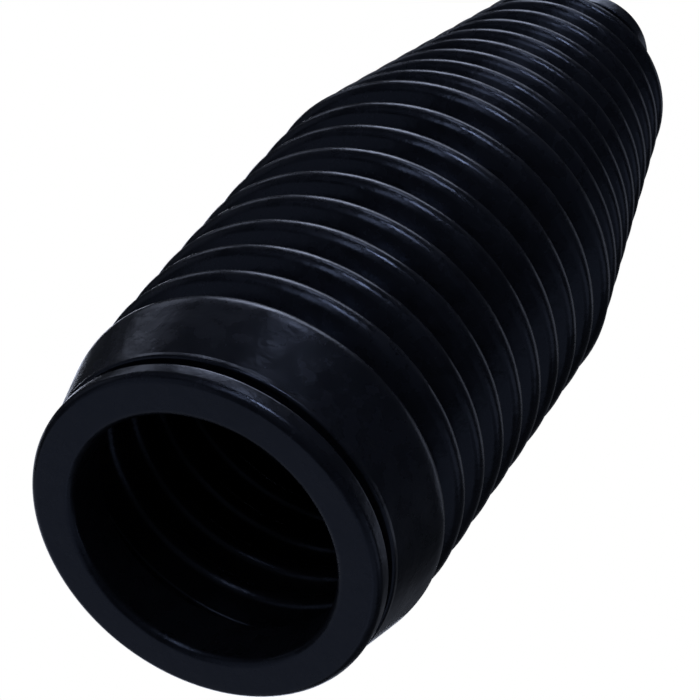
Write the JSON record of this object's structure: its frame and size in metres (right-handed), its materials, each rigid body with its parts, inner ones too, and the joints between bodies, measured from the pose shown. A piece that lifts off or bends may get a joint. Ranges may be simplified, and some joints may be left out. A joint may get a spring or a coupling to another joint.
{
  "type": "rubber bellows boot",
  "caption": "Tapered rubber bellows boot with a large clamp cuff at one end, ring-shaped folds along its length and a small clamp cuff at the other end.",
  "frame": {"origin": "centre of the large cuff's flat end, on the boot's axis", "axes": "+Z along the boot's axis, from the large cuff to the small cuff; X and Y are any two square directions"},
  "size_m": [0.061, 0.061, 0.1606],
  "materials": {
    "rubber": "satin"
  },
  "bodies": {
    "root": {"bellows_boot": "rubber"}
  },
  "joints": []
}
